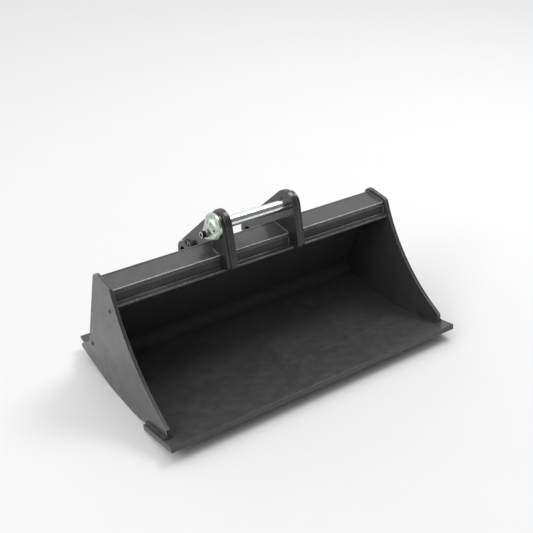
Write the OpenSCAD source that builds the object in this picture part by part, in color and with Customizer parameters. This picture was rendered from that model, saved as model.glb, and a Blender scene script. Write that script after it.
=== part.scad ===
// Wide grading bucket for a small excavator: a plate shell between two side plates, a box
// header with two hanger ears, and a headed arm pin that a bolted keeper plate holds.
// Outlines are drawn in the bucket's own side view, [rearwards, up] from the top front corner
// of the cutting edge, and turned by the resting tilt so that the bucket stands on its belly.

/* [Cutting edge] */
// Length of the cutting edge across the bucket
lip_w = 1500; // [1490:5:1540]
// Depth of the cutting edge from front to back
lip_d = 230; // [210:5:250]
// Thickness of the cutting edge
lip_t = 25; // [16:1:30]

/* [Shell] */
// Width over the side plates
body_w = 1460; // [1440:5:1480]
// Thickness of the floor, back and header base sheets
sheet_t = 10; // [8:1:12]
// Slope of the belly flat that the bucket rests on, above the cutting edge's plane
rest_tilt = 11; // [9:0.5:13]
// Slope of the floor where it runs up to the heel
heel_slope = 22; // [20:0.5:24]
// Lean of the back sheet from square to the cutting edge's plane
back_lean = 26.4; // [24:0.2:28]
// Inside radius of the bend between floor and back
heel_bend_r = 50; // [30:5:70]
// Thickness of the wear plate that runs past the heel
heel_plate_t = 12; // [8:1:14]
// Rearmost reach of the heel wear plate
heel_reach = 862; // [830:2:866]

/* [Side plates] */
// Thickness of each side plate
side_t = 16; // [12:1:20]
// Radius of the hollow front edge
hollow_r = 835; // [750:5:1000]
// How far the side plates stand proud of the header and the back
side_proud = 18; // [12:1:22]
// Slope of the side plates' top edge
crown_slope = 17.5; // [14:0.5:19]
// Length of the side plates' toe behind the floor's end
toe_reach = 139; // [110:1:145]
// Radius of the screw heads on the side plates
screw_head_r = 9; // [7:0.5:11]

/* [Header] */
// Slope of the header's top plate
header_slope = 15; // [12:0.5:18]
// Thickness of the header's top plate
header_t = 12; // [10:1:14]
// How far the base sheet stands out in front of the header's face
ledge = 30; // [20:1:34]

/* [Ears] */
// Clear gap between the two ears
ear_gap = 316; // [290:2:340]
// Thickness of each ear plate
ear_t = 20; // [16:1:24]
// Thickness of the pad on the outside of each ear's nose
pad_t = 26; // [20:1:30]
// Thickness of the boss round each link bore
link_boss_t = 20; // [14:1:26]
// Radius of each ear's nose
nose_r = 66; // [62:1:70]
// Radius of each ear's rear end
link_end_r = 60; // [56:1:62]

/* [Pins] */
// Radius of the arm pin's and link pin's bores
bore_r = 25; // [22:0.5:28]
// Outer radius of the bushes pressed into the ears
bush_r = 36; // [33:0.5:40]
// Radial clearance of the arm pin and of the keeper bolt's thread
running = 0.05; // [0.02:0.01:0.08]

/* [Keeper] */
// Thickness of the keeper plate
keeper_t = 12; // [8:1:14]
// Radius of the keeper plate round the pin
keeper_r = 59; // [54:1:62]
// Nominal radius of the keeper bolt
bolt_r = 10; // [8:0.5:10]
// Length of the keeper bolt's head
bolt_head_h = 20; // [14:1:24]

/* [Hidden] */
$fn = 72;

steel_paint = "#55575a";
edge_paint = "#4b4d50";
zinc = "#c9d6cc";
black_oxide = "#26272a";

// Half widths across the bucket
side_out = body_w / 2;
side_in = side_out - side_t;
ear_in = ear_gap / 2;
ear_out = ear_in + ear_t;
pad_out = ear_out + pad_t;
boss_out = ear_out + link_boss_t;
keeper_gap = 0.3;
keeper_in = pad_out + keeper_gap;
keeper_out = keeper_in + keeper_t;

// --- Plane geometry helpers ---------------------------------------------------------------
function polar(r, a) = r * [cos(a), sin(a)];
// Where two lines meet, each given by a point and a direction angle
function meet(p, a, q, b) = p + polar(((q - p) * polar(1, b + 90)) / (polar(1, a) * polar(1, b + 90)), a);
// Direction in which a common tangent touches both circles; side is +1 for the left one
function touch(c0, r0, c1, r1, side) =
    atan2(c1.y - c0.y, c1.x - c0.x) + side * acos((r0 - r1) / norm(c1 - c0));
// Points of an arc from angle a to angle b in n equal steps
function arc(c, r, a, b, n) = [for (i = [0:n]) c + polar(r, a + (b - a) * i / n)];
// Two round ends joined by straight flanks
function lobe(c0, r0, c1, r1) =
    let (left = touch(c0, r0, c1, r1, 1), right = touch(c0, r0, c1, r1, -1))
    concat(arc(c1, r1, right, left, 30), arc(c0, r0, left, right + 360, 48));

// --- Side view of the shell ---------------------------------------------------------------
// The floor's top line: flat behind the cutting edge, then up to the belly flat, then up again
floor_flat_end = 320;
belly_bend_r = 300;
belly_end = 520;
rise_bend_r = 350;
belly_start = [floor_flat_end, belly_bend_r] + polar(belly_bend_r, rest_tilt - 90);
belly_stop = belly_start + (belly_end - belly_start.x) / cos(rest_tilt) * polar(1, rest_tilt);
rise_centre = belly_stop + polar(rise_bend_r, rest_tilt + 90);
rise_start = rise_centre + polar(rise_bend_r, heel_slope - 90);

// The side plate's rear edge, and the back sheet inside it
rear_edge = [716, 191];
back_dir = 90 + back_lean;
back_out = rear_edge - polar(side_proud + 2, back_lean);
back_in = back_out - polar(sheet_t, back_lean);
heel_corner = meet(rise_start, heel_slope, back_in, back_dir);
bend_sweep = back_dir - heel_slope;
heel_tangent = heel_bend_r * tan(bend_sweep / 2);
floor_stop = heel_corner - polar(heel_tangent, heel_slope);
bend_centre = floor_stop + polar(heel_bend_r, heel_slope + 90);

function floor_line(drop) = concat(
    [[lip_d, -drop]],
    arc([floor_flat_end, belly_bend_r], belly_bend_r + drop, -90, rest_tilt - 90, 4),
    arc(rise_centre, rise_bend_r + drop, rest_tilt - 90, heel_slope - 90, 4));

function reversed(list) = [for (i = [len(list) - 1:-1:0]) list[i]];

// --- Side view of the header --------------------------------------------------------------
header_nose = [405, 520];
header_down = header_slope - 90;
header_heel = meet(header_nose, header_slope, back_out, back_dir);
header_under = header_nose + polar(header_t, header_down);
header_face = header_under.x + 3;
face_t = 10;
base_z = 460;
base_front = header_face - ledge;

function back_y(point, z) = meet(point, back_dir, [0, z], 0).x;

module header_outline() {
    polygon([
        [base_front, 200],
        [base_front, base_z],
        [header_face, base_z],
        [header_face, header_under.y],
        header_under,
        header_nose,
        header_heel,
        [back_y(back_out, 200), 200]
    ]);
}

// --- Side view of the ears ----------------------------------------------------------------
pin_at = [418, 649];
link_at = [750, 446];
foot_at = [364, 477];
foot_r = 22;
pad_inset = 12;
pad_heel = [436, 520];
ear_root = [back_y(back_out, 330), 330];
bolt_at = pin_at + [67, -47];
keeper_lobe_r = 26;
boss_r = 20;
link_boss_r = 52;
link_bolt_at = [690, 489];
link_bolt_boss_r = 18.5;
link_bolt_r = 8;

// --- Placing ------------------------------------------------------------------------------
// The bucket is turned onto its belly flat, and its box is centred over the origin
belly_low = [belly_start.x, belly_start.y] + polar(sheet_t, rest_tilt - 90);
function turned(p) = [p * polar(1, rest_tilt), p * polar(1, rest_tilt + 90)];
front_reach = turned([0, -lip_t]).x;
rear_reach = turned(link_at).x + link_end_r;
stand_shift = [0, -(front_reach + rear_reach) / 2, -turned(belly_low).y];

module standing() {
    translate(stand_shift)
        rotate([-rest_tilt, 0, 0])
            children();
}

// Side-view outline made into a plate between two stations across the bucket
module plate(x0, x1) {
    standing()
        translate([min(x0, x1), 0, 0])
            rotate([90, 0, 90])
                linear_extrude(height = abs(x1 - x0))
                    children();
}

// Round piece about a point of the side view, profile as [radius, station across]
module turning(at, stations) {
    standing()
        translate([0, at.x, at.y])
            rotate([90, 0, 90])
                rotate_extrude()
                    polygon(stations);
}

// --- Shell --------------------------------------------------------------------------------
module cutting_edge() {
    color(steel_paint)
        plate(-lip_w / 2, lip_w / 2)
            translate([0, -lip_t])
                square([lip_d, lip_t]);
}

module floor_sheet() {
    color(steel_paint)
        plate(-side_in, side_in)
            polygon(concat(
                floor_line(0), [floor_stop],
                [floor_stop + polar(sheet_t, heel_slope - 90)],
                reversed(floor_line(sheet_t))));
}

module back_sheet() {
    top_z = header_heel.y;
    color(steel_paint)
        plate(-side_in, side_in)
            difference() {
                polygon(concat(
                    arc(bend_centre, heel_bend_r + sheet_t, heel_slope - 90, back_lean, 16),
                    [[back_y(back_out, top_z), top_z], [back_y(back_in, top_z), top_z]],
                    arc(bend_centre, heel_bend_r, back_lean, heel_slope - 90, 16)));
                translate(header_under)
                    rotate(header_slope)
                        square([300, 100]);
            }
}

module heel_plate() {
    top_lift = heel_plate_t - sheet_t;
    start = floor_stop + polar(22, heel_slope);
    run = (heel_reach - start.x) / cos(heel_slope) - heel_plate_t * tan(heel_slope);
    color(steel_paint)
        plate(-side_in, side_in)
            difference() {
                translate(start)
                    rotate(heel_slope)
                        translate([0, -sheet_t])
                            square([run, sheet_t + top_lift]);
                translate(bend_centre)
                    circle(heel_bend_r + sheet_t);
            }
}

// --- Side plates --------------------------------------------------------------------------
tip_front = 62;
tip_h = 41;
crown_front = [388, 517];
rear_round_r = 38;
front_round_r = 22;
toe_r = 12;
screw_spots = [[680, 197], [424, 429]];
screw_r = 6;

module side_outline() {
    crown = header_nose + polar(side_proud, header_slope + 90);
    crown_down = crown_slope - 90;
    rear_c = meet(crown + polar(rear_round_r, crown_down), crown_slope,
        rear_edge - polar(rear_round_r, back_lean), back_dir);
    front_c = meet(crown + polar(front_round_r, crown_down), crown_slope,
        crown_front + polar(front_round_r, -6), 84);
    under = floor_stop + polar(sheet_t, heel_slope - 90);
    toe_c = under + polar(toe_reach, heel_slope) + polar(toe_r, heel_slope + 90);
    toe_from = touch(rear_edge, 0, toe_c, toe_r, 1);
    difference() {
        polygon(concat(
            [[tip_front, 0], [tip_front, tip_h], crown_front],
            arc(front_c, front_round_r, 174, crown_slope + 90, 6),
            arc(rear_c, rear_round_r, crown_slope + 90, back_lean, 10),
            [rear_edge],
            arc(toe_c, toe_r, toe_from, heel_slope - 90, 8),
            reversed(floor_line(sheet_t)),
            [[lip_d, 0]]));
        hollow_cut();
    }
}

// The hollow of the front edge, a circle through the tip and the crown
module hollow_cut() {
    foot = [tip_front, tip_h];
    chord = crown_front - foot;
    across = atan2(chord.y, chord.x);
    reach = sqrt(pow(hollow_r, 2) - pow(norm(chord) / 2, 2));
    translate((foot + crown_front) / 2 + polar(reach, across + 90))
        circle(hollow_r, $fn = 180);
}

module side_plate(x0, x1) {
    color(steel_paint)
        plate(x0, x1)
            difference() {
                side_outline();
                for (spot = screw_spots)
                    translate(spot) circle(screw_r);
            }
}

module side_plate_left() { side_plate(-side_out, -side_in); }
module side_plate_right() { side_plate(side_in, side_out); }

// Button-head screws, each through the side plate, hand is -1 on the left
module side_screws(hand) {
    head_h = 5;
    crown_r = screw_head_r - 3;
    color(steel_paint)
        for (spot = screw_spots)
            difference() {
                turning(spot, [
                    [0, hand * side_in],
                    [screw_r, hand * side_in],
                    [screw_r, hand * side_out],
                    [screw_head_r, hand * side_out],
                    [screw_head_r, hand * (side_out + 2)],
                    [crown_r, hand * (side_out + head_h)],
                    [0, hand * (side_out + head_h)]
                ]);
                plate(hand * (side_out + 1.5), hand * (side_out + head_h + 1))
                    translate(spot) circle(3.5, $fn = 6);
            }
}

module side_screws_left() { side_screws(-1); }
module side_screws_right() { side_screws(1); }

// --- Header -------------------------------------------------------------------------------
module header_top_plate() {
    back_edge = meet(header_under, header_slope, back_out, back_dir);
    color(steel_paint)
        plate(-side_in, side_in)
            polygon([header_under, header_nose, header_heel, back_edge]);
}

module header_front_plate() {
    color(steel_paint)
        plate(-side_in, side_in)
            difference() {
                translate([header_face, base_z])
                    square([face_t, 100]);
                translate(header_under)
                    rotate(header_slope)
                        square([100, 150]);
            }
}

module header_base_sheet() {
    color(steel_paint)
        plate(-side_in, side_in)
            polygon([
                [base_front, base_z - sheet_t],
                [base_front, base_z],
                [back_y(back_in, base_z), base_z],
                [back_y(back_in, base_z - sheet_t), base_z - sheet_t]
            ]);
}

// Rib inside the header's box, under an ear; it stops short of the back sheet's weld
module header_rib(x0) {
    rib_t = 12;
    color(steel_paint)
        plate(x0, x0 + rib_t)
            difference() {
                polygon([
                    [header_face + face_t, base_z],
                    [header_face + face_t, 600],
                    [back_y(back_in, 600), 600],
                    [back_y(back_in, base_z), base_z]
                ]);
                translate(header_under)
                    rotate(header_slope)
                        translate([-50, 0])
                            square([300, 150]);
            }
}

module header_rib_left() { header_rib(-ear_in - 16); }
module header_rib_right() { header_rib(ear_in + 4); }

// --- Ears ---------------------------------------------------------------------------------
module ear_outline() {
    crest = touch(pin_at, nose_r, link_at, link_end_r, 1);
    root = touch(ear_root, 0, link_at, link_end_r, -1);
    brow = touch(pin_at, nose_r, foot_at, foot_r, -1);
    inner_x = base_front + 60;
    difference() {
        polygon(concat(
            arc(pin_at, nose_r, brow, crest - 360, 30),
            arc(link_at, link_end_r, crest, root, 30),
            [ear_root, [inner_x, ear_root.y], [inner_x, foot_at.y - foot_r]],
            arc(foot_at, foot_r, -90, brow, 16)));
        header_outline();
        translate(pin_at) circle(bush_r);
        translate(link_at) circle(bush_r);
    }
}

module ear_left() {
    color(steel_paint)
        plate(-ear_out, -ear_in)
            difference() {
                ear_outline();
                translate(bolt_at) circle(bolt_r + running);
                translate(link_bolt_at) circle(link_bolt_r);
            }
}

module ear_right() {
    color(steel_paint)
        plate(ear_in, ear_out)
            ear_outline();
}

// Pad that doubles the nose and runs down the header's face
module ear_pad(x0, x1) {
    toe_at = foot_at + [3, -3];
    toe_r = foot_r - pad_inset + 4;
    pad_r = nose_r - pad_inset;
    heel_r = 18;
    crest = touch(pin_at, pad_r, pad_heel, heel_r, 1);
    brow = touch(pin_at, pad_r, toe_at, toe_r, -1);
    color(edge_paint)
        plate(x0, x1)
            difference() {
                polygon(concat(
                    arc(pin_at, pad_r, brow, crest - 360, 36),
                    arc(pad_heel, heel_r, crest, 0, 6),
                    [[pad_heel.x + heel_r, toe_at.y - toe_r]],
                    arc(toe_at, toe_r, -90, brow, 12)));
                header_outline();
                translate(pin_at) circle(bush_r);
                translate(bolt_at) circle(boss_r);
            }
}

module ear_pad_left() { ear_pad(-pad_out, -ear_out); }
module ear_pad_right() { ear_pad(ear_out, pad_out); }

// Plain ring about a point of the side view
module ring(at, r_out, r_in, x0, x1) {
    plate(x0, x1)
        difference() {
            translate(at) circle(r_out);
            translate(at) circle(r_in);
        }
}

module link_boss_left() { color(edge_paint) ring(link_at, link_boss_r, bush_r, -boss_out, -ear_out); }
module link_boss_right() { color(edge_paint) ring(link_at, link_boss_r, bush_r, ear_out, boss_out); }
module arm_bush_left() { color(black_oxide) ring(pin_at, bush_r, bore_r, -pad_out, -ear_in); }
module arm_bush_right() { color(black_oxide) ring(pin_at, bush_r, bore_r, ear_in, pad_out); }
module link_bush_left() { color(black_oxide) ring(link_at, bush_r, bore_r, -boss_out, -ear_in); }
module link_bush_right() { color(black_oxide) ring(link_at, bush_r, bore_r, ear_in, boss_out); }

// Threaded boss behind the keeper plate's tail
module keeper_boss() {
    color(edge_paint)
        ring(bolt_at, boss_r, bolt_r + running, -pad_out, -ear_out);
}

// Threaded boss left free for the link pin's own keeper
module link_keeper_boss() {
    color(edge_paint)
        ring(link_bolt_at, link_bolt_boss_r, link_bolt_r, -boss_out, -ear_out);
}

// --- Arm pin and keeper -------------------------------------------------------------------
module arm_pin() {
    pin_r = bore_r - running;
    chamfer = 3;
    head_h = 6;
    weld_r = pin_r + 6;
    tip = pad_out + 10;
    head = -keeper_out - head_h;
    color(zinc)
        turning(pin_at, [
            [0, head],
            [pin_r - chamfer, head],
            [pin_r, head + chamfer],
            [weld_r, -keeper_out],
            [pin_r, -keeper_out],
            [pin_r, tip - chamfer],
            [pin_r - chamfer, tip],
            [0, tip]
        ]);
}

module keeper_plate() {
    color(zinc)
        plate(-keeper_out, -keeper_in)
            difference() {
                polygon(lobe(pin_at, keeper_r, bolt_at, keeper_lobe_r));
                translate(pin_at) circle(bore_r - running);
                translate(bolt_at) circle(bolt_r + 1);
            }
}

washer_t = 4;
washer_in = keeper_out + keeper_gap;
bolt_seat = -washer_in - washer_t;

module keeper_washer() {
    color(zinc)
        ring(bolt_at, bolt_r + 8, bolt_r + 0.5, bolt_seat, -washer_in);
}

// Socket-head bolt through the washer and keeper plate into the boss and ear
module keeper_bolt() {
    head_r = bolt_r + 5;
    head_end = bolt_seat - bolt_head_h;
    socket_deep = bolt_head_h / 2;
    color(zinc)
        difference() {
            turning(bolt_at, [
                [0, head_end],
                [head_r - 1.5, head_end],
                [head_r, head_end + 1.5],
                [head_r, bolt_seat],
                [bolt_r, bolt_seat],
                [bolt_r, -ear_in - 8],
                [bolt_r - 2, -ear_in - 6],
                [0, -ear_in - 6]
            ]);
            plate(head_end - 1, head_end + socket_deep)
                translate(bolt_at) circle(9, $fn = 6);
        }
}

// --- Pieces -------------------------------------------------------------------------------
cutting_edge();
floor_sheet();
back_sheet();
heel_plate();
side_plate_left();
side_plate_right();
header_top_plate();
header_front_plate();
header_base_sheet();
header_rib_left();
header_rib_right();
ear_left();
ear_right();
ear_pad_left();
ear_pad_right();
link_boss_left();
link_boss_right();
arm_bush_left();
arm_bush_right();
link_bush_left();
link_bush_right();
keeper_boss();
link_keeper_boss();
side_screws_left();
side_screws_right();
arm_pin();
keeper_plate();
keeper_bolt();
keeper_washer();
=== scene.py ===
"""Looks of a wide grading bucket: softened plates, weld beads, plated pin and studio."""

import logging
import math
from dataclasses import dataclass, field
from enum import Enum

import bmesh
import bpy
from mathutils import Matrix, Vector


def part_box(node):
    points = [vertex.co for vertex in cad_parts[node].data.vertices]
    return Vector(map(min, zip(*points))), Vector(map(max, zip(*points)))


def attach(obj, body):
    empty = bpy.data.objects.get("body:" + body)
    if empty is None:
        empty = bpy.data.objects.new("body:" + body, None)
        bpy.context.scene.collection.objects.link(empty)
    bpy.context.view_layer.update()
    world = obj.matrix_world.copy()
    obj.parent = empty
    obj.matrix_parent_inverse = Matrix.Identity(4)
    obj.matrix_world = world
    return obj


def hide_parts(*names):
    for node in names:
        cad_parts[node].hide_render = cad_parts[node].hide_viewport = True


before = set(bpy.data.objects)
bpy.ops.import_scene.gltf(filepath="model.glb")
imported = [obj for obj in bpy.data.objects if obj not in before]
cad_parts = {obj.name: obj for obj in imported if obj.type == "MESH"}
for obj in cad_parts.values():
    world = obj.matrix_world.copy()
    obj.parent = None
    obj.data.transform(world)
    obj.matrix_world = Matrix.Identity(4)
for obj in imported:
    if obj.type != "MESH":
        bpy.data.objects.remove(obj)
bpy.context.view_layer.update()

LOG = logging.getLogger("bucket")
MM = 0.001
# Face layer on rounded edges; the finishes paint those faces paler, partly as scuffing and partly as
# painted highlight.
RIM_LAYER_SCUFF_AND_HIGHLIGHT = "edge_scuff_and_highlight"
SMOOTH_AT_RIM = 4.0
SMOOTH_IN_RIM = 50.0

Face = bmesh.types.BMFace
Material = bpy.types.Material
Shape = bmesh.types.BMesh
Socket = bpy.types.NodeSocket
Colour = tuple[float, float, float]


class Body(Enum):
    """The groups of pieces that move as one."""

    BUCKET = "bucket"
    PIN = "arm_pin"
    BOLT = "keeper_bolt"


class Slot(Enum):
    """The record's material slots."""

    PAINT = "shell_paint"
    BUSH = "bush_steel"
    ZINC = "zinc_plate"
    BOLT = "bolt_steel"


class Hand(Enum):
    """Left or right of the bucket, as the sign of X."""

    LEFT = -1
    RIGHT = 1

    @property
    def word(self) -> str:
        """Name of this hand in piece names."""
        return self.name.lower()


# --- Finishes ---


class Graph:
    """Node tree of one material, with short methods that add a node and join it up."""

    def __init__(self, name: str) -> None:
        """Starts a material that holds one Principled shader.

        Args:
            name: The material's name.
        """
        self.material = bpy.data.materials.new(name)
        self.material.use_nodes = True
        self.nodes = self.material.node_tree.nodes
        self.links = self.material.node_tree.links
        self.nodes.clear()
        self.shader = self.nodes.new("ShaderNodeBsdfPrincipled")
        output = self.nodes.new("ShaderNodeOutputMaterial")
        self.links.new(self.shader.outputs["BSDF"], output.inputs["Surface"])
        self.place = self.nodes.new("ShaderNodeTexCoord").outputs["Object"]

    def join(self, socket: Socket, value: Socket | float | Colour) -> None:
        """Links a socket into another, or sets a plain value on it.

        Args:
            socket: The input to fill.
            value: An output socket, a number or a colour.
        """
        if isinstance(value, bpy.types.NodeSocket):
            self.links.new(value, socket)
        elif isinstance(value, tuple):
            socket.default_value = (*value, 1.0)
        else:
            socket.default_value = value

    def feed(self, name: str, value: Socket | float | Colour) -> None:
        """Fills one of the shader's own inputs.

        Args:
            name: The input's name on the Principled shader.
            value: What goes into it.
        """
        self.join(self.shader.inputs[name], value)

    def stretched(self, scale: Colour) -> Socket:
        """Object coordinates scaled by axis.

        Args:
            scale: Factors along X, Y and Z.

        Returns:
            The scaled coordinates.
        """
        node = self.nodes.new("ShaderNodeMapping")
        node.inputs["Scale"].default_value = scale
        self.links.new(self.place, node.inputs["Vector"])
        return node.outputs["Vector"]

    def noise(self, scale: float, detail: float = 3.0, place: Socket | None = None) -> Socket:
        """Cloudy noise from 0 to 1.

        Args:
            scale: Features per metre.
            detail: Number of finer layers.
            place: Coordinates, or None for the piece's own.

        Returns:
            The noise value.
        """
        node = self.nodes.new("ShaderNodeTexNoise")
        node.inputs["Scale"].default_value = scale
        node.inputs["Detail"].default_value = detail
        node.inputs["Roughness"].default_value = 0.55
        self.links.new(place or self.place, node.inputs["Vector"])
        return node.outputs["Fac"]

    def cells(self, scale: float) -> Socket:
        """Distance from the nearest of many scattered points.

        Args:
            scale: Points per metre.

        Returns:
            The distance, in cells.
        """
        node = self.nodes.new("ShaderNodeTexVoronoi")
        node.inputs["Scale"].default_value = scale
        self.links.new(self.place, node.inputs["Vector"])
        return node.outputs["Distance"]

    def remap(self, value: Socket, span: tuple[float, float], onto: tuple[float, float]) -> Socket:
        """Maps one span of values onto another, held at its ends.

        Args:
            value: The value to map.
            span: Its low and high end.
            onto: What those ends become.

        Returns:
            The mapped value.
        """
        node = self.nodes.new("ShaderNodeMapRange")
        self.links.new(value, node.inputs["Value"])
        node.inputs["From Min"].default_value = span[0]
        node.inputs["From Max"].default_value = span[1]
        node.inputs["To Min"].default_value = onto[0]
        node.inputs["To Max"].default_value = onto[1]
        return node.outputs["Result"]

    def maths(self, work: str, first: Socket, second: Socket | float) -> Socket:
        """One step of arithmetic.

        Args:
            work: The Math node's operation.
            first: Left value.
            second: Right value.

        Returns:
            The result.
        """
        node = self.nodes.new("ShaderNodeMath")
        node.operation = work
        self.join(node.inputs[0], first)
        self.join(node.inputs[1], second)
        return node.outputs[0]

    def mixed(self, share: Socket, first: Socket | Colour, second: Socket | Colour) -> Socket:
        """Blends two colours.

        Args:
            share: How much of the second colour shows.
            first: Colour at share 0.
            second: Colour at share 1.

        Returns:
            The blended colour.
        """
        node = self.nodes.new("ShaderNodeMix")
        node.data_type = "RGBA"
        self.links.new(share, node.inputs[0])
        self.join(node.inputs[6], first)
        self.join(node.inputs[7], second)
        return node.outputs[2]

    def upward(self) -> Socket:
        """How far a surface faces up, from 0 on a wall to 1 on a level top."""
        normal = self.nodes.new("ShaderNodeNewGeometry").outputs["Normal"]
        split = self.nodes.new("ShaderNodeSeparateXYZ")
        self.links.new(normal, split.inputs[0])
        return self.remap(split.outputs["Z"], (0.2, 0.95), (0.0, 1.0))

    def scuff_and_highlight(self) -> Socket:
        """The rounded-edge mark stored on the mesh, which places the paler edge colour: partly scuffing,
        partly painted highlight.
        """
        node = self.nodes.new("ShaderNodeAttribute")
        node.attribute_name = RIM_LAYER_SCUFF_AND_HIGHLIGHT
        return node.outputs["Fac"]

    def relief(self, height: Socket, strength: float, depth: float, under: Socket | None = None) -> Socket:
        """Surface relief from a height.

        Args:
            height: The height value.
            strength: Share of the relief that shows.
            depth: Real height of the relief in metres.
            under: A coarser relief below this one.

        Returns:
            The bent normal.
        """
        node = self.nodes.new("ShaderNodeBump")
        node.inputs["Strength"].default_value = strength
        node.inputs["Distance"].default_value = depth
        self.links.new(height, node.inputs["Height"])
        if under is not None:
            self.links.new(under, node.inputs["Normal"])
        return node.outputs["Normal"]


@dataclass(frozen=True)
class PaintFinish:
    """Satin paint over steel: faint clouding, orange peel, dust, and paler rounded edges that are partly
    scuffed paint and partly painted highlight.
    """

    name: str
    shade: Colour = (0.040, 0.040, 0.042)
    pale: Colour = (0.056, 0.056, 0.058)
    # Colour of the rounded edges: partly scuffed paint, partly painted highlight.
    rim_scuff_and_highlight: Colour = (0.30, 0.30, 0.30)
    dust: Colour = (0.42, 0.41, 0.40)
    gloss: tuple[float, float] = (0.30, 0.44)
    peel_depth: float = 0.00012
    lumps: float = 0.0
    dustiness: float = 0.05
    # Low and high share of the rounded edges that takes that colour.
    scuff_and_highlight_span: tuple[float, float] = (0.12, 0.75)
    coat: float = 0.35
    shine: float = 0.4

    def make(self) -> Material:
        """Builds the material.

        Returns:
            The finished material.
        """
        g = Graph(self.name)
        clouds = g.noise(7.0, 5.0)
        grain = g.noise(320.0, 2.0)
        colour = g.mixed(g.remap(clouds, (0.35, 0.68), (0.0, 1.0)), self.shade, self.pale)
        film = g.maths("MULTIPLY", g.upward(), g.remap(g.noise(23.0, 6.0), (0.42, 0.7), (0.15, 1.0)))
        colour = g.mixed(g.maths("MULTIPLY", film, self.dustiness), colour, self.dust)
        specks = g.remap(g.cells(85.0), (0.045, 0.09), (1.0, 0.0))
        sparse = g.remap(g.noise(31.0, 1.0), (0.56, 0.62), (0.0, 0.45))
        colour = g.mixed(g.maths("MULTIPLY", specks, sparse), colour, self.dust)
        # Rounded edges take the paler rim colour and some metal: partly scuffed paint, partly painted
        # highlight.
        patches = g.remap(g.noise(95.0, 4.0), (0.44, 0.66), self.scuff_and_highlight_span)
        scuff_and_highlight_share = g.maths("MULTIPLY", g.scuff_and_highlight(), patches)
        g.feed("Base Color", g.mixed(scuff_and_highlight_share, colour, self.rim_scuff_and_highlight))
        rough = g.remap(g.noise(16.0, 5.0), (0.3, 0.7), self.gloss)
        rough = g.maths("ADD", rough, g.remap(grain, (0.3, 0.7), (-0.02, 0.03)))
        g.feed("Roughness", g.maths("ADD", rough, g.maths("MULTIPLY", film, 0.06)))
        g.feed("Metallic", g.maths("MULTIPLY", scuff_and_highlight_share, 0.35))
        g.feed("Specular IOR Level", self.shine)
        g.feed("Coat Weight", self.coat)
        g.feed("Coat Roughness", 0.1)
        wave = g.relief(g.noise(4.5, 1.0), 0.35, 0.0012)
        peel = g.relief(g.noise(420.0, 2.0), 0.6, self.peel_depth, wave)
        if self.lumps:
            peel = g.relief(g.noise(150.0, 3.0), 0.9, self.lumps, peel)
        g.feed("Normal", peel)
        return g.material


@dataclass(frozen=True)
class PlatedFinish:
    """Zinc plate over turned or sawn steel, cloudy and faintly green."""

    name: str
    bright: Colour = (0.82, 0.87, 0.82)
    dull: Colour = (0.70, 0.76, 0.71)
    stain: Colour = (0.30, 0.33, 0.30)
    grain: Colour = (900.0, 40.0, 40.0)
    gloss: tuple[float, float] = (0.12, 0.22)

    def make(self) -> Material:
        """Builds the material.

        Returns:
            The finished material.
        """
        g = Graph(self.name)
        marks = g.noise(1.0, 3.0, g.stretched(self.grain))
        clouds = g.noise(42.0, 5.0)
        colour = g.mixed(g.remap(clouds, (0.38, 0.66), (0.0, 1.0)), self.bright, self.dull)
        blots = g.remap(g.noise(68.0, 6.0), (0.62, 0.76), (0.0, 0.3))
        colour = g.mixed(blots, colour, self.stain)
        colour = g.mixed(g.remap(marks, (0.62, 0.8), (0.0, 0.35)), colour, self.stain)
        # Rounded edges lean to the bright colour: partly scuffed plating, partly painted highlight.
        g.feed("Base Color", g.mixed(g.maths("MULTIPLY", g.scuff_and_highlight(), 0.5), colour, self.bright))
        rough = g.remap(clouds, (0.3, 0.7), self.gloss)
        g.feed("Roughness", g.maths("ADD", rough, g.remap(marks, (0.3, 0.7), (-0.03, 0.05))))
        g.feed("Metallic", 1.0)
        g.feed("Normal", g.relief(marks, 0.2, 0.00006, g.relief(g.noise(140.0, 2.0), 0.15, 0.00008)))
        return g.material


@dataclass(frozen=True)
class TurnedFinish:
    """Bare turned steel, oiled and darkened, with tool rings round X."""

    name: str
    clean: Colour = (0.36, 0.36, 0.35)
    dark: Colour = (0.10, 0.095, 0.09)
    gloss: tuple[float, float] = (0.26, 0.46)

    def make(self) -> Material:
        """Builds the material.

        Returns:
            The finished material.
        """
        g = Graph(self.name)
        rings = g.noise(1.0, 3.0, g.stretched((1400.0, 25.0, 25.0)))
        oil = g.noise(60.0, 5.0)
        colour = g.mixed(g.remap(oil, (0.36, 0.64), (0.0, 1.0)), self.clean, self.dark)
        colour = g.mixed(g.remap(rings, (0.55, 0.8), (0.0, 0.5)), colour, self.dark)
        # Rounded edges lean to the clean colour: partly scuffed steel, partly painted highlight.
        g.feed("Base Color", g.mixed(g.maths("MULTIPLY", g.scuff_and_highlight(), 0.6), colour, self.clean))
        g.feed("Roughness", g.remap(oil, (0.3, 0.7), self.gloss))
        g.feed("Metallic", 0.9)
        g.feed("Normal", g.relief(rings, 0.4, 0.0001))
        return g.material


@dataclass(frozen=True)
class FloorFinish:
    """Matt pale studio floor."""

    name: str = "studio_floor"
    pale: Colour = (0.82, 0.82, 0.82)
    paler: Colour = (0.835, 0.835, 0.835)

    def make(self) -> Material:
        """Builds the material.

        Returns:
            The finished material.
        """
        g = Graph(self.name)
        g.feed("Base Color", g.mixed(g.noise(3.0, 2.0), self.pale, self.paler))
        g.feed("Roughness", 0.9)
        g.feed("Specular IOR Level", 0.1)
        return g.material


def built(finish: PaintFinish | PlatedFinish | TurnedFinish) -> Material:
    """Field whose default is the finish's material, made when the owner is.

    Args:
        finish: The finish.

    Returns:
        The dataclass field.
    """
    return field(default_factory=finish.make)


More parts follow.
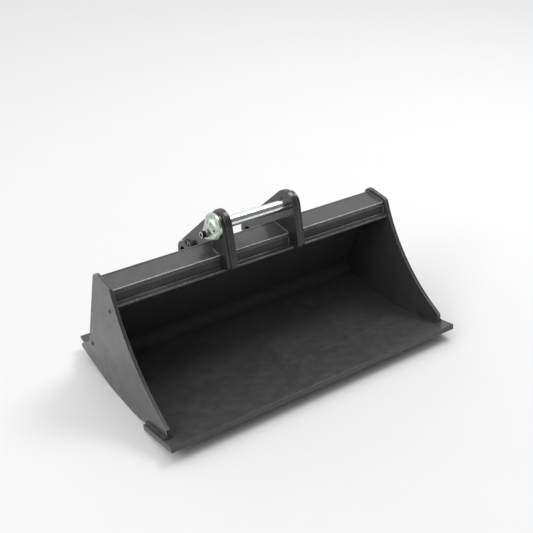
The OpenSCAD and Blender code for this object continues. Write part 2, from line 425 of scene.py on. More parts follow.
@dataclass
class Finishes:
    """Every finish in use, built once."""

    plate: Material = built(PaintFinish("plate_paint"))
    lip: Material = built(
        PaintFinish(
            "lip_paint",
            shade=(0.045, 0.045, 0.046),
            pale=(0.052, 0.052, 0.053),
            gloss=(0.34, 0.41),
            scuff_and_highlight_span=(0.0, 0.1),
        )
    )
    inside: Material = built(
        PaintFinish(
            "inside_paint",
            shade=(0.047, 0.047, 0.048),
            pale=(0.053, 0.053, 0.054),
            gloss=(0.53, 0.6),
            scuff_and_highlight_span=(0.0, 0.0),
            coat=0.0,
            shine=0.25,
        )
    )
    # Header plates: the pale rounded edges are painted highlight, for the bright lines along the header's
    # edges.
    header: Material = built(PaintFinish("header_paint_edge_highlight", rim_scuff_and_highlight=(0.62, 0.62, 0.62), scuff_and_highlight_span=(0.6, 1.0)))
    # Header front plate: the same paint lightened as a painted reflection, with pale rounded edges as
    # painted highlight.
    brow: Material = built(
        PaintFinish(
            "brow_paint_painted_reflection",
            shade=(0.056, 0.056, 0.057),
            pale=(0.072, 0.072, 0.073),
            rim_scuff_and_highlight=(0.62, 0.62, 0.62),
            scuff_and_highlight_span=(0.3, 0.9),
            coat=0.0,
            shine=0.2,
        )
    )
    # Side plates: the pale rounded edges are painted highlight along the plate edges.
    side: Material = built(PaintFinish("side_paint_edge_highlight", rim_scuff_and_highlight=(0.72, 0.72, 0.72), scuff_and_highlight_span=(0.45, 1.0)))
    # Ears and pad rims: the same paint made much darker, painted shade for the ears' dark front edges.
    ear: Material = built(
        PaintFinish(
            "ear_paint",
            shade=(0.014, 0.014, 0.015),
            pale=(0.026, 0.026, 0.027),
            gloss=(0.2, 0.34),
            lumps=0.0004,
            scuff_and_highlight_span=(0.0, 0.12),
        )
    )
    # Seam beads: the same paint made lighter than the plates, partly painted highlight along the bead
    # lines.
    weld: Material = built(
        PaintFinish(
            "weld_paint_and_painted_highlight",
            shade=(0.045, 0.045, 0.045),
            pale=(0.11, 0.11, 0.11),
            lumps=0.0006,
            gloss=(0.3, 0.5),
        )
    )
    # Lip and inner corner beads: very dark, partly dark weld and partly painted shade along the lip corners
    # and the tips' front faces.
    dark_weld_and_shade: Material = built(
        PaintFinish(
            "dark_weld_paint_and_painted_shade",
            shade=(0.008, 0.008, 0.009),
            pale=(0.035, 0.035, 0.035),
            lumps=0.003,
            gloss=(0.45, 0.65),
            coat=0.1,
        )
    )
    zinc: Material = built(PlatedFinish("zinc_turned"))
    zinc_flat: Material = built(
        PlatedFinish(
            "zinc_flat",
            bright=(0.66, 0.73, 0.65),
            dull=(0.24, 0.30, 0.23),
            grain=(60.0, 60.0, 420.0),
            gloss=(0.22, 0.4),
        )
    )
    zinc_dull: Material = built(
        PlatedFinish("zinc_dull", bright=(0.46, 0.50, 0.42), dull=(0.34, 0.38, 0.30), gloss=(0.3, 0.45))
    )
    zinc_weld: Material = built(
        PlatedFinish("zinc_weld", bright=(0.95, 0.97, 0.95), dull=(0.85, 0.88, 0.85), gloss=(0.5, 0.65))
    )
    bush: Material = built(
        TurnedFinish("bush_steel", clean=(0.13, 0.13, 0.125), dark=(0.04, 0.038, 0.036))
    )
    # Knurled bolt sides: very dark, painted shade for the head's shaded side; the end face takes the bright
    # finish.
    knurl_shaded: Material = built(
        TurnedFinish("bolt_knurl_painted_shade", clean=(0.045, 0.045, 0.045), dark=(0.015, 0.015, 0.015))
    )
    bright: Material = built(
        TurnedFinish("bolt_bright", clean=(0.62, 0.62, 0.60), dark=(0.34, 0.34, 0.33))
    )


# --- Side view ---


def polar(radius: float, angle: float) -> Vector:
    """Plane vector of a length at an angle in degrees."""
    return Vector((radius * math.cos(math.radians(angle)), radius * math.sin(math.radians(angle))))


def meet(p: Vector, a: float, q: Vector, b: float) -> Vector:
    """Where two lines cross.

    Args:
        p: Point of the first line.
        a: Its direction in degrees.
        q: Point of the second line.
        b: Its direction in degrees.

    Returns:
        The crossing point.
    """
    square = polar(1.0, b + 90.0)
    return p + polar(1.0, a) * ((q - p).dot(square) / polar(1.0, a).dot(square))


def arc(centre: Vector, radius: float, start: float, end: float, steps: int) -> list[Vector]:
    """Points along an arc.

    Args:
        centre: Centre of the arc.
        radius: Its radius.
        start: First angle in degrees.
        end: Last angle in degrees.
        steps: Number of equal steps.

    Returns:
        The points, both ends included.
    """
    return [centre + polar(radius, start + (end - start) * i / steps) for i in range(steps + 1)]


def touch(c0: Vector, r0: float, c1: Vector, r1: float, side: int) -> float:
    """Angle at which a common tangent touches two circles.

    Args:
        c0: Centre of the first circle.
        r0: Its radius.
        c1: Centre of the second circle.
        r1: Its radius.
        side: 1 for the left tangent, -1 for the right one.

    Returns:
        The angle in degrees.
    """
    line = c1 - c0
    return math.degrees(math.atan2(line.y, line.x) + side * math.acos((r0 - r1) / line.length))


@dataclass(frozen=True)
class SideView:
    """The bucket's own side view in millimetres, and how it stands in the frame."""

    arm_pin: Vector = Vector((418.0, 649.0))
    link_pin: Vector = Vector((750.0, 446.0))
    side_in: float = 714.0
    side_out: float = 730.0
    ear_in: float = 158.0
    ear_out: float = 178.0
    pad_out: float = 204.0
    lip_depth: float = 230.0
    tip_front: float = 62.0
    belly_slope: float = 11.0
    heel_slope: float = 22.0
    back_lean: float = 26.4
    sheet: float = 10.0
    bend: float = 50.0
    toe_centre: Vector = Vector((320.0, 300.0))
    toe_bend: float = 300.0
    belly_rear: float = 520.0
    rise_bend: float = 350.0
    back_mark: Vector = Vector((716.0, 191.0))
    back_shift: float = 20.0
    front_setback: float = 3.0
    header_nose: Vector = Vector((405.0, 520.0))
    header_slope: float = 15.0
    header_thick: float = 12.0
    base_top: float = 460.0
    ledge: float = 30.0

    @staticmethod
    def centre_of(node: str) -> Vector:
        """Middle of a node's box, as rearward and upward metres."""
        low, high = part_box(node)
        return Vector(((low[1] + high[1]) / 2, (low[2] + high[2]) / 2))

    def at(self, x: float, point: Vector) -> Vector:
        """Place in the frame of a side-view point.

        Args:
            x: Station across the bucket in millimetres.
            point: Rearward and upward millimetres.

        Returns:
            The place in metres.
        """
        arm = self.centre_of("arm_bush_left")
        span = self.centre_of("link_bush_left") - arm
        own = self.link_pin - self.arm_pin
        turn = math.atan2(span.y, span.x) - math.atan2(own.y, own.x)
        off = Matrix.Rotation(turn, 2) @ (point - self.arm_pin) * MM
        return Vector((x * MM, arm.x + off.x, arm.y + off.y))

    @property
    def back_dir(self) -> float:
        """Direction of the back sheet going up, in degrees."""
        return 90.0 + self.back_lean

    @property
    def back_out(self) -> Vector:
        """A point on the outside of the back sheet."""
        return self.back_mark - polar(self.back_shift, self.back_lean)

    @property
    def back_in(self) -> Vector:
        """A point on the inside of the back sheet."""
        return self.back_out - polar(self.sheet, self.back_lean)

    @property
    def belly_end(self) -> Vector:
        """Rear end of the belly flat, on the floor's upper side."""
        start = self.toe_centre + polar(self.toe_bend, self.belly_slope - 90.0)
        length = (self.belly_rear - start.x) / math.cos(math.radians(self.belly_slope))
        return start + polar(1.0, self.belly_slope) * length

    @property
    def rise_centre(self) -> Vector:
        """Centre of the bend between the belly flat and the rise to the heel."""
        return self.belly_end + polar(self.rise_bend, self.belly_slope + 90.0)

    @property
    def floor_stop(self) -> Vector:
        """Where the floor ends and the heel bend begins."""
        rise = self.rise_centre + polar(self.rise_bend, self.heel_slope - 90.0)
        corner = meet(rise, self.heel_slope, self.back_in, self.back_dir)
        reach = self.bend * math.tan(math.radians((self.back_dir - self.heel_slope) / 2))
        return corner - polar(reach, self.heel_slope)

    @property
    def bend_centre(self) -> Vector:
        """Centre of the heel bend."""
        return self.floor_stop + polar(self.bend, self.heel_slope + 90.0)

    @property
    def header_heel(self) -> Vector:
        """Rear top corner of the header."""
        return meet(self.header_nose, self.header_slope, self.back_out, self.back_dir)

    @property
    def header_face(self) -> float:
        """How far back the header's front face stands."""
        under = polar(self.header_thick, self.header_slope - 90.0)
        return self.header_nose.x + under.x + self.front_setback

    @property
    def header_foot(self) -> Vector:
        """Where the header's front plate stands on its ledge."""
        return Vector((self.header_face, self.base_top))

    @property
    def ledge_line(self) -> list[Vector]:
        """Top of the ledge, from the front plate to its rim."""
        return [self.header_foot, Vector((self.header_face - self.ledge, self.base_top))]

    def on_back(self, start: Vector, height: float) -> Vector:
        """Point of the back sheet's line at a height.

        Args:
            start: A point on that line.
            height: Upward millimetres.

        Returns:
            The point.
        """
        return meet(start, self.back_dir, Vector((0.0, height)), 0.0)

    def inside_path(self) -> list[Vector]:
        """The inner surface from the cutting edge's tip to under the header."""
        points = [Vector((self.tip_front, 0.0)), Vector((self.lip_depth, 0.0))]
        points += arc(self.toe_centre, self.toe_bend, -90.0, self.belly_slope - 90.0, 3)
        points += arc(self.rise_centre, self.rise_bend, self.belly_slope - 90.0, self.heel_slope - 90.0, 3)
        points += arc(self.bend_centre, self.bend, self.heel_slope - 90.0, self.back_lean, 14)
        return points + [self.on_back(self.back_in, self.base_top - self.sheet)]


VIEW = SideView()


# --- Mesh work ---


class Workshop:
    """Turns bmesh work into finished pieces that ride on a body."""

    @staticmethod
    def finish(
        name: str,
        bm: Shape,
        body: Body,
        slot: Slot,
        coats: list[Material],
        smooth_below: float = 14.0,
    ) -> bpy.types.Object:
        """Makes an object of a bmesh and puts it in the scene.

        Args:
            name: Name of the piece.
            bm: Its shape in metres, in the frame.
            body: The body it moves with.
            slot: Not used.
            coats: Its materials, by face index.
            smooth_below: Edges under this angle in degrees are shaded smooth.

        Returns:
            The new object.
        """
        mesh = bpy.data.meshes.new(name)
        scuff_and_highlight = bm.faces.layers.float.get(RIM_LAYER_SCUFF_AND_HIGHLIGHT)
        limits = (smooth_below, SMOOTH_AT_RIM, SMOOTH_IN_RIM)
        for face in bm.faces:
            face.smooth = True
        for edge in bm.edges:
            rims = sum(f[scuff_and_highlight] > 0.5 for f in edge.link_faces) if scuff_and_highlight else 0
            limit = limits[min(rims, 2)]
            edge.smooth = edge.calc_face_angle(0.0) < math.radians(limit)
        bm.to_mesh(mesh)
        bm.free()
        for coat in coats:
            mesh.materials.append(coat)
        piece = bpy.data.objects.new(name, mesh)
        bpy.context.scene.collection.objects.link(piece)
        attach(piece, body.value)
        LOG.info("%s: %d faces", name, len(mesh.polygons))
        return piece

    @staticmethod
    def merged(node: str) -> Shape:
        """Closed copy of a CAD node's mesh, with its flat faces in one piece.

        Args:
            node: The CAD node.

        Returns:
            The copy.
        """
        bm = bmesh.new()
        bm.from_mesh(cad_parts[node].data)
        bmesh.ops.remove_doubles(bm, verts=bm.verts, dist=2e-6)
        bmesh.ops.dissolve_limit(
            bm, angle_limit=math.radians(0.4), use_dissolve_boundaries=False, verts=bm.verts, edges=bm.edges
        )
        return bm

    @staticmethod
    def rounded(bm: Shape, width: float, segments: int = 2, above: float = 24.0) -> None:
        """Rounds a shape's sharp edges and marks the new faces for the paler edge colour, partly scuffing
        and partly painted highlight.

        Args:
            bm: The shape.
            width: Width of the rounding in metres.
            segments: Faces across it.
            above: Edges turn by more than this many degrees to count as sharp.
        """
        layer = bm.faces.layers.float.get(RIM_LAYER_SCUFF_AND_HIGHLIGHT) or bm.faces.layers.float.new(RIM_LAYER_SCUFF_AND_HIGHLIGHT)
        limit = math.radians(above)
        sharp = [e for e in bm.edges if len(e.link_faces) == 2 and e.calc_face_angle(0.0) > limit]
        made = bmesh.ops.bevel(
            bm,
            geom=sharp,
            offset=width,
            offset_type="OFFSET",
            affect="EDGES",
            segments=segments,
            profile=0.5,
            material=-1,
            clamp_overlap=True,
            loop_slide=True,
        )
        for face in made["faces"]:
            face[layer] = 1.0

    def soften(
        self,
        node: str,
        coat: Material,
        width: float = 1.4,
        body: Body = Body.BUCKET,
        slot: Slot = Slot.PAINT,
        segments: int = 2,
    ) -> bpy.types.Object:
        """Stands a softened copy in for a CAD node.

        Args:
            node: The CAD node.
            coat: Its material.
            width: Width of the rounded edges in millimetres.
            body: The body it moves with.
            slot: Passed on, but not used.
            segments: Faces across each rounded edge.

        Returns:
            The copy.
        """
        bm = self.merged(node)
        self.rounded(bm, width * MM, segments)
        piece = self.finish(f"{node}_skin", bm, body, slot, [coat])
        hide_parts(node)
        return piece

    @staticmethod
    def pushed(bm: Shape, cap: Face, first: bool = False) -> Face:
        """Extrudes a cap in place and drops the old one, so that none is left inside.

        Args:
            bm: The mesh.
            cap: The cap.
            first: Whether the old cap stays, to close the start.

        Returns:
            The new cap.
        """
        made = bmesh.ops.extrude_face_region(bm, geom=[cap])["geom"]
        if not first:
            bmesh.ops.delete(bm, geom=[cap], context="FACES_ONLY")
        return next(f for f in made if isinstance(f, Face))

    def bead(self, bm: Shape, path: list[Vector], radius: float, pitch: float = 7.0) -> None:
        """Lays one weld bead: a round section drawn along a path, swelling at each ripple.

        Args:
            bm: The mesh it is added to.
            path: Corner points of its centre line in metres.
            radius: Radius of the section in millimetres.
            pitch: Length of a ripple in millimetres.
        """
        stops = [path[0]]
        for start, end in zip(path, path[1:]):
            count = max(1, round((end - start).length / (pitch * MM / 2)))
            stops += [start.lerp(end, (i + 1) / count) for i in range(count)]
        swell = [0.5] + [1.0 if i % 2 else 0.91 for i in range(len(stops) - 2)] + [0.5]
        heading = (stops[1] - stops[0]).normalized()
        turn = Vector((0.0, 0.0, 1.0)).rotation_difference(heading).to_matrix().to_4x4()
        spot = Matrix.Translation(stops[0]) @ turn
        ring = bmesh.ops.create_circle(
            bm, cap_ends=True, cap_tris=False, segments=10, radius=radius * swell[0] * MM, matrix=spot
        )["verts"]
        cap = ring[0].link_faces[0]
        if cap.normal.dot(heading) > 0.0:
            cap.normal_flip()
        for i in range(1, len(stops)):
            cap = self.pushed(bm, cap, first=i == 1)
            verts = list(cap.verts)
            bmesh.ops.translate(bm, verts=verts, vec=stops[i] - stops[i - 1])
            centre = Matrix.Translation(-stops[i])
            follow = (stops[min(i + 1, len(stops) - 1)] - stops[i - 1]).normalized()
            if heading.angle(follow, 0.0) > 1e-5:
                spin = heading.rotation_difference(follow).to_matrix()
                bmesh.ops.rotate(bm, cent=stops[i], matrix=spin, verts=verts)
                heading = follow
            grow = swell[i] / swell[i - 1]
            bmesh.ops.scale(bm, vec=Vector((grow, grow, grow)), space=centre, verts=verts)

    def beads(
        self, name: str, runs: list[tuple[list[Vector], float]], coat: Material
    ) -> bpy.types.Object:
        """Makes one piece of the bucket from several weld beads.

        Args:
            name: Name of the piece.
            runs: Each bead's centre line in metres and its radius in millimetres.
            coat: Its material.

        Returns:
            The piece.
        """
        bm = bmesh.new()
        for path, radius in runs:
            self.bead(bm, path, radius)
        bmesh.ops.recalc_face_normals(bm, faces=bm.faces)
        return self.finish(name, bm, Body.BUCKET, Slot.PAINT, [coat], smooth_below=70.0)


SHOP = Workshop()


def across(x0: float, x1: float, point: Vector) -> list[Vector]:
    """Straight line across the bucket at a side-view point.

    Args:
        x0: First station in millimetres.
        x1: Last station in millimetres.
        point: Rearward and upward millimetres.

    Returns:
        The two ends in metres.
    """
    return [VIEW.at(x0, point), VIEW.at(x1, point)]


def along(x: float, points: list[Vector]) -> list[Vector]:
    """Side-view line at one station across the bucket.

    Args:
        x: The station in millimetres.
        points: Rearward and upward millimetres.

    Returns:
        The points in metres.
    """
    return [VIEW.at(x, p) for p in points]


# --- Sub-assemblies ---


@dataclass
class Shell:
    """Cutting edge, floor, back and heel, with the seams between them."""

    finishes: Finishes
    edge_round: float = 1.8
    sheet_round: float = 1.0
    seam: float = 6.0
    seam_proud: float = 0.5
    heel_rise: float = 36.0
    heel_lift: float = 2.5
    sunk: float = 1.0

    def build(self) -> None:
        """Softens the shell's plates and lays its cross seams."""
        SHOP.soften("cutting_edge", self.finishes.lip, self.edge_round, segments=3)
        SHOP.soften("back_sheet", self.finishes.inside, self.sheet_round)
        for node in ("floor_sheet", "heel_plate"):
            SHOP.soften(node, self.finishes.lip, self.sheet_round)
        self.seams()

    def seams(self) -> None:
        """Lays the seams that run across the bucket."""
        reach = VIEW.side_in - self.sunk
        lip = Vector((VIEW.lip_depth, -self.seam + self.seam_proud))
        heel = VIEW.floor_stop + polar(self.heel_rise, VIEW.heel_slope)
        heel += polar(self.heel_lift, VIEW.heel_slope + 90.0)
        SHOP.beads(
            "shell_seams",
            [
                (across(-reach, reach, lip), self.seam),
                (across(-reach, reach, heel), self.seam),
            ],
            self.finishes.weld,
        )


@dataclass
class SidePlates:
    """The two side plates, their corner welds and their screws."""

    finishes: Finishes
    plate_round: float = 2.4
    inner_bead: float = 2.2
    outer_bead: float = 5.0
    lip_bead: float = 11.0
    inner_lip_bead: float = 8.0
    face_bead: float = 6.0
    ledge_bead: float = 5.0
    weld_to: float = 196.0
    down_to: float = 210.0
    face_top: float = 505.0
    sunk: float = 1.0
    inner_shift: float = 1.5

    def build(self) -> None:
        """Builds both hands."""
        for hand in Hand:
            SHOP.soften(f"side_plate_{hand.word}", self.finishes.side, self.plate_round, segments=3)
            SHOP.soften(f"side_screws_{hand.word}", self.finishes.plate, 0.7)
            self.welds(hand)

    def welds(self, hand: Hand) -> None:
        """Lays the corner beads of one side plate.

        Args:
            hand: Which side plate.
        """
        side = hand.value
        inner = side * (VIEW.side_in - self.sunk)
        outer = side * (VIEW.side_out + self.sunk)
        tip = Vector((VIEW.tip_front, 0.0))
        lip_end = Vector((VIEW.lip_depth, 0.0))
        front = tip - Vector((self.sunk, 0.0))
        header = [VIEW.header_nose, VIEW.header_heel]
        down = [VIEW.header_heel, VIEW.on_back(VIEW.back_out, self.down_to)]
        face = [Vector((VIEW.header_face, self.face_top)), VIEW.header_foot]
        lift = Vector((0.0, self.sunk))
        far = Vector((self.weld_to, 0.0))
        SHOP.beads(
            f"side_welds_{hand.word}",
            [
                (along(inner, header), self.outer_bead),
                (along(inner, down), self.outer_bead),
                (along(inner, face), self.face_bead),
                (along(inner, VIEW.ledge_line), self.ledge_bead),
            ],
            self.finishes.weld,
        )
        # These beads take the very dark finish: partly weld, partly painted shade at the lip corners and
        # tip faces.
        SHOP.beads(
            f"lip_welds_{hand.word}",
            [
                (along(inner - side * self.inner_shift, [tip + lift, far + lift]), self.inner_lip_bead),
                (along(outer, [tip + lift, lip_end + lift]), self.lip_bead),
                (across(inner, outer, front), self.outer_bead),
                (along(inner, VIEW.inside_path()), self.inner_bead),
            ],
            self.finishes.dark_weld_and_shade,
        )


@dataclass
class Header:
    """The box header between the side plates."""

    finishes: Finishes
    plate_round: float = 3.2
    face_bead: float = 8.5
    brow_bead: float = 5.5
    rear_bead: float = 5.0
    brow_at: float = 502.5
    sunk: float = 1.0
    face_sunk: float = 1.5
    brow_proud: float = 0.5
    heel_sunk: float = 2.4
    heel_turn: float = 50.0

    def build(self) -> None:
        """Softens the header's plates and lays its long seams."""
        SHOP.soften("header_top_plate", self.finishes.header, self.plate_round, segments=4)
        SHOP.soften("header_front_plate", self.finishes.brow, self.plate_round, segments=4)
        SHOP.soften("header_base_sheet", self.finishes.plate, self.plate_round, segments=4)
        for hand in Hand:
            SHOP.soften(f"header_rib_{hand.word}", self.finishes.plate, 1.0)
        self.seams()

    def seams(self) -> None:
        """Lays the seams along the header, broken where the ears stand."""
        face = Vector((VIEW.header_face + self.face_sunk, VIEW.base_top - self.sunk))
        brow = Vector((VIEW.header_face - self.brow_proud, self.brow_at))
        heel = VIEW.header_heel - polar(self.heel_sunk, VIEW.header_slope + self.heel_turn)
        under = VIEW.on_back(VIEW.back_in, VIEW.base_top - VIEW.sheet) - Vector((self.sunk, self.sunk))
        wide = VIEW.side_in - self.sunk
        runs = [(across(-wide, wide, under), self.rear_bead)]
        for x0, x1 in ((-wide, -VIEW.pad_out), (-VIEW.ear_in, VIEW.ear_in), (VIEW.pad_out, wide)):
            runs.append((across(x0, x1, face), self.face_bead))
            runs.append((across(x0, x1, brow), self.brow_bead))
        for x0, x1 in ((-wide, -VIEW.ear_out), (-VIEW.ear_in, VIEW.ear_in), (VIEW.ear_out, wide)):
            runs.append((across(x0, x1, heel), self.rear_bead))
        SHOP.beads("header_seams", runs, self.finishes.weld)


@dataclass
class Ears:
    """The two hanger ears with their pads, bosses and bushes."""

    finishes: Finishes
    plate_round: float = 2.4
    bead: float = 4.5
    pad_bead: float = 11.0
    boss_reach: float = 52.0
    pad_nose: float = 54.0
    pad_toe: float = 14.0
    pad_heel_round: float = 18.0
    pad_heel: Vector = field(default_factory=lambda: Vector((436.0, 520.0)))
    pad_foot: Vector = field(default_factory=lambda: Vector((367.0, 474.0)))
    root: float = 333.0
    face_top: float = 508.0
    heel_bead: float = 6.0
    heel_run: tuple[float, float] = (6.0, 52.0)
    proud: float = 0.5

    def build(self) -> None:
        """Builds both hands."""
        for hand in Hand:
            word = hand.word
            for node in (f"ear_{word}", f"ear_pad_{word}", f"link_boss_{word}"):
                SHOP.soften(node, self.finishes.ear, self.plate_round, segments=3)
            for node in (f"arm_bush_{word}", f"link_bush_{word}"):
                SHOP.soften(node, self.finishes.bush, 1.2, slot=Slot.BUSH)
            self.welds(hand)
        SHOP.soften("keeper_boss", self.finishes.plate, 1.2)
        SHOP.soften("link_keeper_boss", self.finishes.plate, 1.2)

    def pad_edge(self) -> list[Vector]:
        """Outline of the pad from its foot over the nose to the header."""
        brow = touch(VIEW.arm_pin, self.pad_nose, self.pad_foot, self.pad_toe, -1)
        crest = touch(VIEW.arm_pin, self.pad_nose, self.pad_heel, self.pad_heel_round, 1)
        points = arc(self.pad_foot, self.pad_toe, -110.0, brow, 5)
        points += arc(VIEW.arm_pin, self.pad_nose, brow, crest - 360.0, 26)
        points.append(self.pad_heel + polar(self.pad_heel_round, crest))
        return points + [self.pad_heel + Vector((self.pad_heel_round, 10.0))]

    def welds(self, hand: Hand) -> None:
        """Lays the beads round one ear.

        Args:
            hand: Which ear.
        """
        inner = hand.value * (VIEW.ear_in - self.proud)
        outer = hand.value * (VIEW.ear_out + self.proud)
        crown = [VIEW.header_nose, VIEW.header_heel]
        back = [VIEW.header_heel, VIEW.on_back(VIEW.back_out, self.root)]
        face = [Vector((VIEW.header_face, self.face_top)), VIEW.header_foot]
        boss = arc(VIEW.link_pin, self.boss_reach, 0.0, 360.0, 40)
        pad_heel = [VIEW.header_nose + polar(run, VIEW.header_slope) for run in self.heel_run]
        SHOP.beads(
            f"ear_welds_{hand.word}",
            [
                (along(inner, crown), self.bead),
                (along(inner, back), self.bead),
                (along(inner, face), self.bead),
                (along(inner, VIEW.ledge_line), self.bead),
                (along(outer, [pad_heel[1], VIEW.header_heel]), self.bead),
                (along(outer, back), self.bead),
                (along(outer, boss), self.bead),
                (along(hand.value * (VIEW.pad_out + self.proud), pad_heel), self.heel_bead),
            ],
            self.finishes.weld,
        )
        # The pad rim bead takes the darkened ear finish, painted shade.
        rim = (along(outer, self.pad_edge()), self.pad_bead)
        SHOP.beads(f"pad_weld_{hand.word}", [rim], self.finishes.ear)


@dataclass
class ArmPin:
    """The plated arm pin, its keeper plate and the weld between them."""

    finishes: Finishes
    weld_reach: float = 29.0
    weld_round: float = 4.5
    weld_sunk: float = 1.5
    dimple: tuple[float, float] = (7.0, -2.2)
    dimple_slope: float = 1.6

    def build(self) -> None:
        """Softens the pin and keeper and lays the ring weld."""
        self.pin()
        SHOP.soften("keeper_plate", self.finishes.zinc_flat, 1.6, Body.PIN, Slot.ZINC)
        bm = bmesh.new()
        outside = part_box("keeper_plate")[0][0]
        self.ring(bm, Vector((outside + self.weld_sunk * MM, *VIEW.centre_of("arm_pin"))))
        coats = [self.finishes.zinc_weld]
        SHOP.finish("keeper_weld", bm, Body.PIN, Slot.ZINC, coats, smooth_below=60.0)

    def pin(self) -> None:
        """Softens the pin and turns a shallow dimple into both its ends."""
        bm = SHOP.merged("arm_pin")
        SHOP.rounded(bm, 0.9 * MM, 2)
        ends = sorted((f for f in bm.faces if abs(f.normal.x) > 0.99), key=lambda f: -f.calc_area())[:2]
        inset, depth = self.dimple
        rims = bmesh.ops.inset_individual(bm, faces=ends, thickness=inset * MM, depth=0.0)["faces"]
        bmesh.ops.inset_individual(bm, faces=ends, thickness=self.dimple_slope * MM, depth=depth * MM)
        for face in ends + rims:
            face.material_index = 1
        coats = [self.finishes.zinc, self.finishes.zinc_dull]
        piece = SHOP.finish("arm_pin_turned", bm, Body.PIN, Slot.ZINC, coats)
        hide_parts("arm_pin")

    def ring(self, bm: Shape, spot: Vector) -> None:
        """Spins a bead round the pin's head.

        Args:
            bm: The mesh it is added to.
            spot: Centre of the ring in metres.
        """
        start = spot + Vector((0.0, 0.0, self.weld_reach * MM))
        stand = Matrix.Translation(start) @ Matrix.Rotation(math.radians(90.0), 4, "X")
        ring = bmesh.ops.create_circle(
            bm, cap_ends=False, segments=12, radius=self.weld_round * MM, matrix=stand
        )["verts"]
        edges = list({e for v in ring for e in v.link_edges})
        bmesh.ops.spin(
            bm,
            geom=ring + edges,
            cent=spot,
            axis=Vector((1.0, 0.0, 0.0)),
            angle=math.radians(360.0),
            steps=72,
            use_merge=True,
        )
        bmesh.ops.remove_doubles(bm, verts=bm.verts, dist=1e-6)
        bmesh.ops.recalc_face_normals(bm, faces=bm.faces)


@dataclass
class KeeperBolt:
    """The socket bolt that holds the keeper plate, with its washer."""

    finishes: Finishes
    ridges: int = 40
    head_radius: float = 15.0
    ridge_depth: float = 0.7
    socket_flats: float = 17.0
    socket_depth: float = 10.0
    shank_radius: float = 10.0
    shank_end: float = -164.0
    seat: float = -220.6
    head_end: float = -240.6
    rim: float = 1.5
    chamfer: float = 2.0
    chamfer_scale: float = 0.8
    crown_scale: float = 0.9
    crown_inset: float = 1.6

    def build(self) -> None:
        """Builds the bolt and softens the washer."""
        SHOP.soften("keeper_washer", self.finishes.zinc_flat, 0.5, Body.BOLT, Slot.ZINC)
        bm = bmesh.new()
        self.head(bm)
        self.shank(bm)
        bmesh.ops.recalc_face_normals(bm, faces=bm.faces)
        coats = [self.finishes.knurl_shaded, self.finishes.bright]
        piece = SHOP.finish("keeper_bolt_knurled", bm, Body.BOLT, Slot.BOLT, coats, smooth_below=20.0)
        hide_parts("keeper_bolt")

    def spot(self, x: float) -> Matrix:
        """Place of a circle that faces along the bolt at a station across the bucket."""
        low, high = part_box("keeper_washer")
        centre = Vector((x * MM, (low[1] + high[1]) / 2, (low[2] + high[2]) / 2))
        return Matrix.Translation(centre) @ Matrix.Rotation(math.radians(-90.0), 4, "Y")

    @staticmethod
    def grow(bm: Shape, cap: Face, step: float, scale: float = 1.0, first: bool = False) -> Face:
        """Extrudes a cap along the bolt and resizes it.

        Args:
            bm: The mesh.
            cap: The cap.
            step: Distance along X in millimetres.
            scale: New size over old.
            first: Whether the old cap stays, to close the start.

        Returns:
            The new cap.
        """
        cap = SHOP.pushed(bm, cap, first)
        space = Matrix.Translation(-cap.calc_center_median())
        bmesh.ops.scale(bm, vec=Vector((1.0, scale, scale)), space=space, verts=cap.verts)
        bmesh.ops.translate(bm, verts=cap.verts, vec=Vector((step * MM, 0.0, 0.0)))
        return cap

    def head(self, bm: Shape) -> None:
        """Draws the knurled head with its hexagon socket.

        Args:
            bm: The mesh it is added to.
        """
        low = self.head_radius - self.ridge_depth
        rim = bmesh.ops.create_circle(
            bm, cap_ends=True, segments=self.ridges * 4, radius=low * MM, matrix=self.spot(self.seat)
        )["verts"]
        cap = rim[0].link_faces[0]
        cap = self.grow(bm, cap, -self.rim, first=True)
        self.ripple(bm, cap, self.head_radius / low)
        cap = self.grow(bm, cap, self.head_end - self.seat + 3 * self.rim)
        self.ripple(bm, cap, low / self.head_radius)
        cap = self.grow(bm, cap, -self.rim)
        cap = self.grow(bm, cap, -self.rim, self.crown_scale)
        bmesh.ops.inset_region(bm, faces=[cap], thickness=self.crown_inset * MM, depth=0.0)
        centre = cap.calc_center_median()
        flats = self.socket_flats / 2 * MM
        for vert in list(cap.verts):
            off = vert.co - centre
            turn = math.atan2(off.z, off.y)
            wedge = (turn % math.radians(60.0)) - math.radians(30.0)
            reach = flats / math.cos(wedge)
            vert.co = centre + Vector((0.0, math.cos(turn) * reach, math.sin(turn) * reach))
        self.grow(bm, cap, self.socket_depth)
        # End faces take the bright finish; the knurled sides take the very dark finish, painted as their
        # shade.
        for face in bm.faces:
            bright = face.calc_center_median().x < (self.head_end + self.rim * 0.7) * MM
            face.material_index = int(bright)

    @staticmethod
    def ripple(bm: Shape, cap: Face, scale: float) -> None:
        """Pushes every other pair of a cap's corners out or back to make ridges.

        Args:
            bm: The mesh.
            cap: The cap.
            scale: New radius over old.
        """
        space = Matrix.Translation(-cap.calc_center_median())
        raised = [v for i, v in enumerate(cap.verts) if i % 4 in (1, 2)]
        bmesh.ops.scale(bm, vec=Vector((1.0, scale, scale)), space=space, verts=raised)

    def shank(self, bm: Shape) -> None:
        """Draws the plain shank with its chamfered end.

        Args:
            bm: The mesh it is added to.
        """
        start = self.seat - self.rim
        ring = bmesh.ops.create_circle(
            bm, cap_ends=True, segments=48, radius=self.shank_radius * MM, matrix=self.spot(start)
        )["verts"]
        length = self.shank_end - start - self.chamfer
        cap = self.grow(bm, ring[0].link_faces[0], length, first=True)
        self.grow(bm, cap, self.chamfer, self.chamfer_scale)


# --- Studio ---


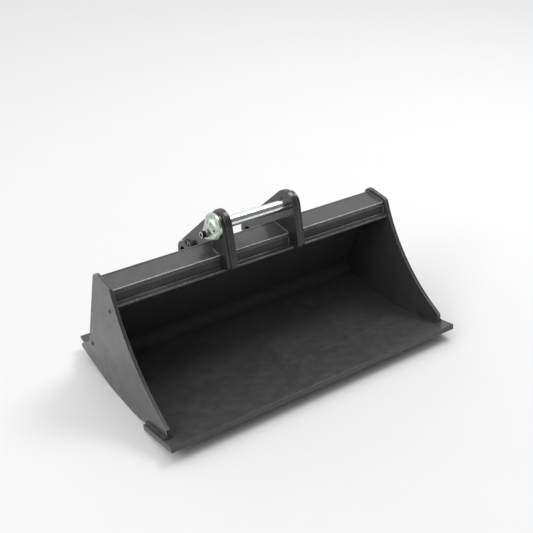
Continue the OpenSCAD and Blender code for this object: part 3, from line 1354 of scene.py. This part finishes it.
@dataclass(frozen=True)
class Softbox:
    """One rectangular soft light, aimed at a point."""

    name: str
    place: Colour
    aim: Colour
    size: tuple[float, float]
    power: float

    def hang(self) -> None:
        """Puts the light in the scene."""
        lamp = bpy.data.lights.new(self.name, "AREA")
        lamp.shape = "RECTANGLE"
        lamp.size, lamp.size_y = self.size
        lamp.energy = self.power
        holder = bpy.data.objects.new(self.name, lamp)
        holder.location = self.place
        aim = Vector(self.aim) - Vector(self.place)
        holder.rotation_euler = aim.to_track_quat("-Z", "Y").to_euler()
        bpy.context.scene.collection.objects.link(holder)


@dataclass
class Studio:
    """Pale floor, even surroundings, softboxes and the camera."""

    floor_size: float = 60.0
    dim: float = 0.20
    glow: float = 1.30
    glow_from: Colour = (-0.40, 0.66, 0.64)
    lens: float = 61.44
    eye: Colour = (-1.98652, -2.77496, 2.43249)
    tilt: Colour = (59.4195, -0.8037, -35.0713)
    boxes: tuple[Softbox, ...] = (
        Softbox("key_left", (-6.2, -0.6, 4.4), (-0.3, 0.0, 0.3), (3.0, 2.4), 85.0),
        Softbox("overhead", (3.6, 0.6, 6.2), (0.0, 0.0, 0.4), (3.2, 2.2), 150.0),
    )

    def build(self) -> None:
        """Sets up the whole studio."""
        bpy.context.scene.view_settings.view_transform = "Standard"
        self.floor()
        self.air()
        for box in self.boxes:
            box.hang()
        self.camera()

    def floor(self) -> None:
        """Lays the floor under the bucket."""
        bm = bmesh.new()
        bmesh.ops.create_grid(bm, x_segments=4, y_segments=4, size=self.floor_size / 2)
        mesh = bpy.data.meshes.new("studio_floor")
        bm.to_mesh(mesh)
        bm.free()
        mesh.materials.append(FloorFinish().make())
        slab = bpy.data.objects.new("studio_floor", mesh)
        bpy.context.scene.collection.objects.link(slab)

    def air(self) -> None:
        """Lights the scene from all round, brightest from the glow's side and dim in front."""
        world = bpy.data.worlds.new("studio_air")
        world.use_nodes = True
        nodes, links = world.node_tree.nodes, world.node_tree.links
        towards = nodes.new("ShaderNodeVectorMath")
        towards.operation = "DOT_PRODUCT"
        links.new(nodes.new("ShaderNodeTexCoord").outputs["Generated"], towards.inputs[0])
        towards.inputs[1].default_value = Vector(self.glow_from).normalized()
        spread = nodes.new("ShaderNodeMapRange")
        spread.interpolation_type = "SMOOTHSTEP"
        spread.inputs["From Min"].default_value = -0.25
        spread.inputs["From Max"].default_value = 0.95
        spread.inputs["To Min"].default_value = self.dim
        spread.inputs["To Max"].default_value = self.glow
        links.new(towards.outputs["Value"], spread.inputs["Value"])
        links.new(spread.outputs["Result"], nodes["Background"].inputs["Strength"])
        nodes["Background"].inputs["Color"].default_value = (1.0, 1.0, 1.0, 1.0)
        bpy.context.scene.world = world

    def camera(self) -> None:
        """Sets the camera up."""
        lens = bpy.data.cameras.new("studio_camera")
        lens.lens = self.lens
        lens.sensor_width = 36.0
        lens.clip_end = 100.0
        lens.dof.use_dof = False
        holder = bpy.data.objects.new("studio_camera", lens)
        holder.location = self.eye
        holder.rotation_euler = [math.radians(a) for a in self.tilt]
        bpy.context.scene.collection.objects.link(holder)
        bpy.context.scene.camera = holder


def main() -> None:
    """Builds every sub-assembly in order, then the studio."""
    logging.basicConfig(level=logging.INFO, format="%(name)s %(message)s")
    finishes = Finishes()
    for part in (Shell, SidePlates, Header, Ears, ArmPin, KeeperBolt):
        part(finishes).build()
        LOG.info("built %s", part.__name__)
    Studio().build()


if __name__ == "__main__":
    main()
